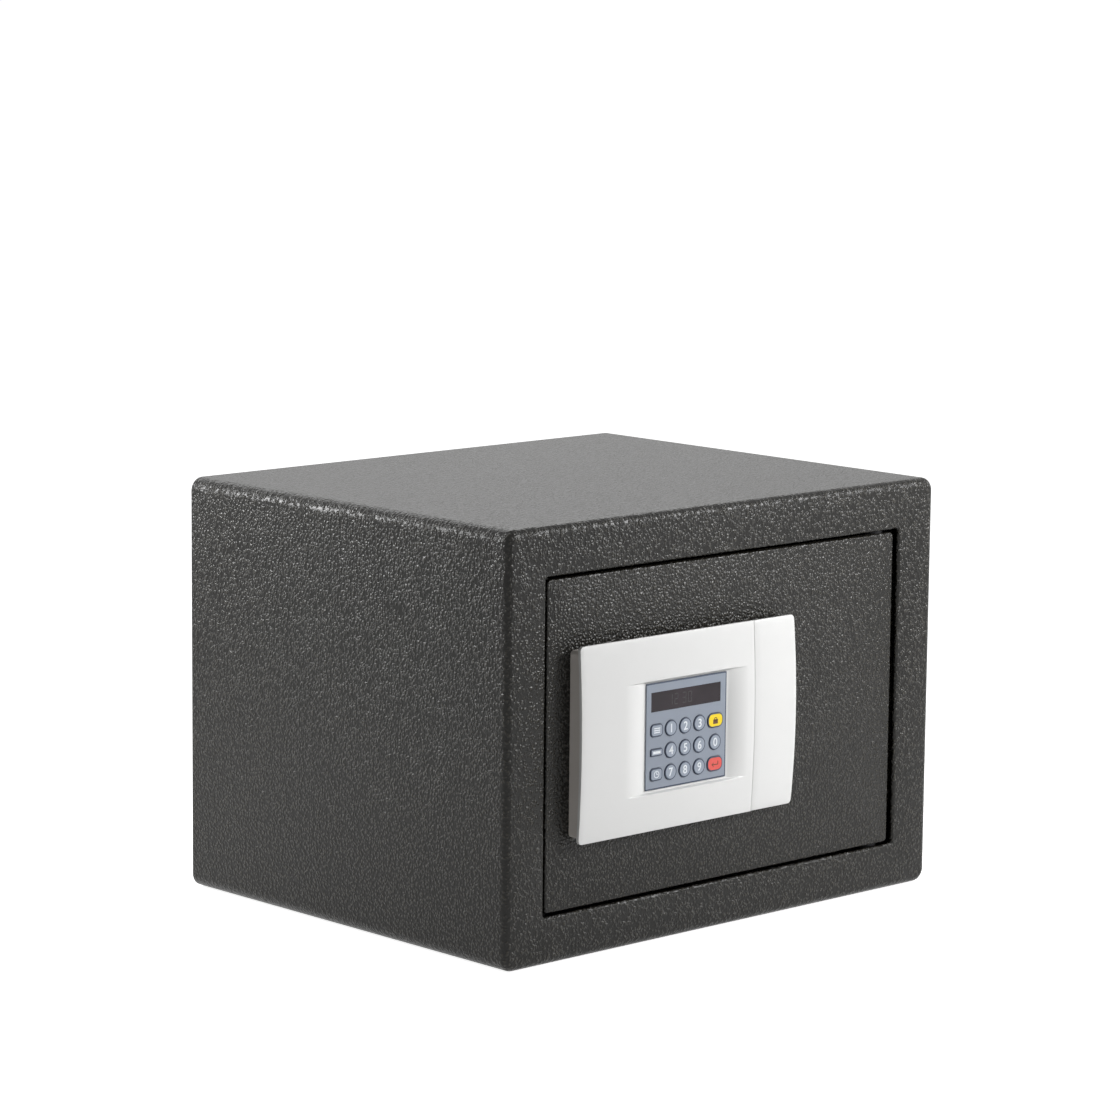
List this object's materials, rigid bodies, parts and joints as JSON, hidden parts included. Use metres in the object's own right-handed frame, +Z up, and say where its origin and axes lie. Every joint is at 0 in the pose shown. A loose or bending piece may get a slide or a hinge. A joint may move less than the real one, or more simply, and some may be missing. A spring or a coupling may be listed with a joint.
{
  "type": "furniture safe",
  "caption": "Steel furniture safe with a hinged door, sliding round bolts, a keypad lock panel, an emergency key lock and anchor holes in back and floor.",
  "frame": {"origin": "centre of the cabinet's base, on the surface it stands on", "axes": "+Z up, -Y out of the closed door, +X towards the hinge side"},
  "size_m": [0.35, 0.29, 0.25],
  "materials": {
    "cabinet_paint": "anthracite structure powder coat",
    "door_paint": "anthracite structure powder coat",
    "floor_felt": "needled felt",
    "zinc_steel": "zinc plated",
    "bolt_steel": "nickel plated, polished",
    "lock_chrome": "polished",
    "brass": "machined",
    "case_plastic": "fine moulded grain",
    "battery_wrap": "shrink wrap",
    "circuit_board": "solder mask",
    "ribbon": "PVC insulation",
    "panel_white": "satin moulded",
    "panel_grey": "moulded",
    "keypad_foil": "printed foil",
    "display_glass": "smoked",
    "key_rubber": "silicone",
    "key_grey": "moulded",
    "key_yellow": "moulded",
    "key_red": "moulded"
  },
  "bodies": {
    "cabinet": {"cabinet_shell": "cabinet_paint", "front_frame": "cabinet_paint", "back_panel": "cabinet_paint", "strike_strip": "cabinet_paint", "hinge_brackets": "cabinet_paint", "floor_mat": "floor_felt"},
    "door": {"door_plate": "door_paint", "hinge_flange": "door_paint", "hinge_lugs": "zinc_steel", "hinge_pins": "zinc_steel", "bolt_guide": "zinc_steel", "rack_guide": "zinc_steel", "motor_can": "bolt_steel", "motor_gearbox": "case_plastic", "motor_bracket": "zinc_steel", "lock_cover": "case_plastic", "cover_screws": "zinc_steel", "battery_holder": "case_plastic", "battery_contacts": "bolt_steel", "battery_cells": "battery_wrap", "control_board": "circuit_board", "board_standoffs": "zinc_steel", "board_lead": "ribbon", "cylinder_housing": "lock_chrome", "cylinder_nut": "zinc_steel", "panel_base": "panel_grey", "panel_face": "panel_white", "keypad_plate": "keypad_foil", "display_window": "display_glass", "display_module": "case_plastic", "key_mat": "key_rubber", "keypad_board": "circuit_board", "panel_screws": "zinc_steel"},
    "bolts": {"bolt_carriage": "zinc_steel", "bolt_upper": "bolt_steel", "bolt_lower": "bolt_steel", "bolt_screws": "zinc_steel", "drive_rack": "zinc_steel", "release_peg": "bolt_steel"},
    "pinion": {"drive_pinion": "brass"},
    "lock_plug": {"cylinder_plug": "brass", "release_cam": "zinc_steel", "cam_screw": "bolt_steel"},
    "key_cover": {"key_cover": "panel_white"},
    "battery_lid": {"battery_lid": "case_plastic"},
    "digit_key_0": {"digit_key_0": "key_grey"},
    "digit_key_1": {"digit_key_1": "key_grey"},
    "digit_key_2": {"digit_key_2": "key_grey"},
    "digit_key_3": {"digit_key_3": "key_grey"},
    "digit_key_4": {"digit_key_4": "key_grey"},
    "digit_key_5": {"digit_key_5": "key_grey"},
    "digit_key_6": {"digit_key_6": "key_grey"},
    "digit_key_7": {"digit_key_7": "key_grey"},
    "digit_key_8": {"digit_key_8": "key_grey"},
    "digit_key_9": {"digit_key_9": "key_grey"},
    "set_key": {"set_key": "key_grey"},
    "menu_key": {"menu_key": "key_grey"},
    "clock_key": {"clock_key": "key_grey"},
    "lock_key": {"lock_key": "key_yellow"},
    "enter_key": {"enter_key": "key_red"}
  },
  "joints": [
    {"name": "door_swing", "type": "hinge", "parent": "cabinet", "child": "door", "pos_m": [0.13, -0.13, 0.1245], "axis": [0, 0, 1], "range_deg": [0, 100]},
    {"name": "bolt_slide", "type": "slide", "parent": "door", "child": "bolts", "axis": [-1, 0, 0], "range_m": [0, 0.012]},
    {"name": "pinion_turn", "type": "hinge", "parent": "door", "child": "pinion", "pos_m": [-0.05, -0.11175, 0.1085], "axis": [0, 0, -1], "range_deg": [0, 77]},
    {"name": "plug_turn", "type": "hinge", "parent": "door", "child": "lock_plug", "pos_m": [0.0285, -0.14, 0.1245], "axis": [0, 1, 0], "range_deg": [-90, 0]},
    {"name": "key_cover_slide", "type": "slide", "parent": "door", "child": "key_cover", "axis": [1, 0, 0], "range_m": [0, 0.034]},
    {"name": "battery_lid_slide", "type": "slide", "parent": "door", "child": "battery_lid", "axis": [1, 0, 0], "range_m": [0, 0.06]},
    {"name": "digit_key_0_press", "type": "slide", "parent": "door", "child": "digit_key_0", "axis": [0, 1, 0], "range_m": [0, 0.0006], "stiffness_N_per_m": 300},
    {"name": "digit_key_1_press", "type": "slide", "parent": "door", "child": "digit_key_1", "axis": [0, 1, 0], "range_m": [0, 0.0006], "stiffness_N_per_m": 300},
    {"name": "digit_key_2_press", "type": "slide", "parent": "door", "child": "digit_key_2", "axis": [0, 1, 0], "range_m": [0, 0.0006], "stiffness_N_per_m": 300},
    {"name": "digit_key_3_press", "type": "slide", "parent": "door", "child": "digit_key_3", "axis": [0, 1, 0], "range_m": [0, 0.0006], "stiffness_N_per_m": 300},
    {"name": "digit_key_4_press", "type": "slide", "parent": "door", "child": "digit_key_4", "axis": [0, 1, 0], "range_m": [0, 0.0006], "stiffness_N_per_m": 300},
    {"name": "digit_key_5_press", "type": "slide", "parent": "door", "child": "digit_key_5", "axis": [0, 1, 0], "range_m": [0, 0.0006], "stiffness_N_per_m": 300},
    {"name": "digit_key_6_press", "type": "slide", "parent": "door", "child": "digit_key_6", "axis": [0, 1, 0], "range_m": [0, 0.0006], "stiffness_N_per_m": 300},
    {"name": "digit_key_7_press", "type": "slide", "parent": "door", "child": "digit_key_7", "axis": [0, 1, 0], "range_m": [0, 0.0006], "stiffness_N_per_m": 300},
    {"name": "digit_key_8_press", "type": "slide", "parent": "door", "child": "digit_key_8", "axis": [0, 1, 0], "range_m": [0, 0.0006], "stiffness_N_per_m": 300},
    {"name": "digit_key_9_press", "type": "slide", "parent": "door", "child": "digit_key_9", "axis": [0, 1, 0], "range_m": [0, 0.0006], "stiffness_N_per_m": 300},
    {"name": "set_key_press", "type": "slide", "parent": "door", "child": "set_key", "axis": [0, 1, 0], "range_m": [0, 0.0006], "stiffness_N_per_m": 300},
    {"name": "menu_key_press", "type": "slide", "parent": "door", "child": "menu_key", "axis": [0, 1, 0], "range_m": [0, 0.0006], "stiffness_N_per_m": 300},
    {"name": "clock_key_press", "type": "slide", "parent": "door", "child": "clock_key", "axis": [0, 1, 0], "range_m": [0, 0.0006], "stiffness_N_per_m": 300},
    {"name": "lock_key_press", "type": "slide", "parent": "door", "child": "lock_key", "axis": [0, 1, 0], "range_m": [0, 0.0006], "stiffness_N_per_m": 300},
    {"name": "enter_key_press", "type": "slide", "parent": "door", "child": "enter_key", "axis": [0, 1, 0], "range_m": [0, 0.0006], "stiffness_N_per_m": 300}
  ],
  "couplings": [
    {"joint": "pinion_turn", "follows": "bolt_slide", "rad_per_m": 111.11}
  ]
}
